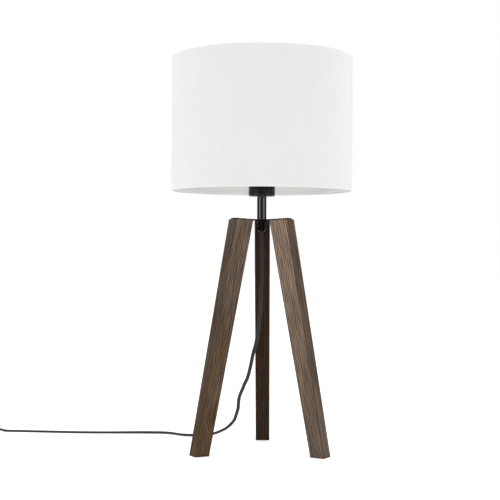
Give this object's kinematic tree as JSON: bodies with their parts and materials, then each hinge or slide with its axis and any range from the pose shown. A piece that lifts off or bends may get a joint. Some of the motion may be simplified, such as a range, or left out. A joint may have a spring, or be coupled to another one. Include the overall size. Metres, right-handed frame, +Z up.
{
  "type": "tripod table lamp",
  "caption": "Table lamp with a straight drum shade on splayed wooden legs, a short black stem and a flat cord with an inline switch and plug.",
  "frame": {"origin": "floor point under the stem's axis, in the middle of the three feet", "axes": "+Z up along the stem, +Y towards the back leg, +X to the lamp's right seen from the front"},
  "size_m": [0.7652, 0.296, 0.5917],
  "materials": {
    "leg_wood": "stained, open grain",
    "black_steel": "black powder coat, satin",
    "zinc_steel": "zinc plated",
    "grip_plastic": "smooth black",
    "holder_plastic": "satin black phenolic",
    "pale_plastic": "matt",
    "contact_brass": "satin",
    "shade_cloth": "fine plain weave, off-white",
    "liner_film": "matt white film",
    "white_wire": "white powder coat",
    "opal_globe": "opal, softly glossy",
    "cap_alloy": "plated",
    "black_insulator": "moulded",
    "circuit_board": "green solder mask",
    "cord_sheath": "smooth dark sheath",
    "core_brown": "smooth",
    "core_blue": "smooth",
    "black_plastic": "fine matt texture",
    "pin_metal": "nickel plated"
  },
  "bodies": {
    "frame": {"leg_left": "leg_wood", "leg_right": "leg_wood", "leg_back": "leg_wood", "top_plate": "black_steel", "leg_screws": "black_steel", "stem_tube": "black_steel", "threaded_rod": "zinc_steel", "lower_nut": "black_steel", "cord_grip": "grip_plastic", "grip_screw": "grip_plastic", "holder_cap": "holder_plastic", "holder_locknut": "zinc_steel", "holder_sleeve": "holder_plastic", "holder_insert": "pale_plastic", "screw_shell": "contact_brass", "centre_contact": "contact_brass", "holder_terminals": "contact_brass", "terminal_screws": "zinc_steel", "cord_inner": "cord_sheath", "live_wire": "core_brown", "neutral_wire": "core_blue", "cord_lead": "cord_sheath", "switch_base": "black_plastic", "switch_cover": "black_plastic", "switch_terminals": "contact_brass", "switch_screws": "zinc_steel", "switch_wires": "cord_sheath", "cord_tail": "cord_sheath", "cord_coil": "cord_sheath", "cord_end": "cord_sheath", "cord_tie": "black_plastic", "plug_body": "black_plastic", "plug_pins": "pin_metal", "plug_relief": "black_plastic"},
    "shade": {"shade_fabric": "shade_cloth", "shade_liner": "liner_film", "shade_top_wire": "white_wire", "shade_bottom_wire": "white_wire", "shade_spider": "white_wire"},
    "shade_ring": {"shade_ring": "holder_plastic"},
    "bulb": {"bulb_globe": "opal_globe", "bulb_housing": "pale_plastic", "bulb_screw_cap": "cap_alloy", "bulb_insulator": "black_insulator", "bulb_tip_contact": "cap_alloy", "bulb_led_board": "cap_alloy", "bulb_driver_board": "circuit_board"},
    "rocker": {"switch_rocker": "black_plastic", "switch_bridge": "contact_brass"}
  },
  "joints": [
    {"name": "shade_turn", "type": "hinge", "parent": "frame", "child": "shade", "pos_m": [0, 0, 0.407], "axis": [0, 0, 1], "continuous": true},
    {"name": "shade_ring_unscrew", "type": "hinge", "parent": "frame", "child": "shade_ring", "pos_m": [0, 0, 0.412], "axis": [0, 0, 1], "range_deg": [0, 1080]},
    {"name": "bulb_lift", "type": "slide", "parent": "frame", "child": "bulb", "axis": [0, 0, 1], "range_m": [0, 0.19]},
    {"name": "rocker_tip", "type": "hinge", "parent": "frame", "child": "rocker", "pos_m": [-0.502, 0.146, 0.0152], "axis": [0, 1, 0], "range_deg": [0, 16]}
  ]
}
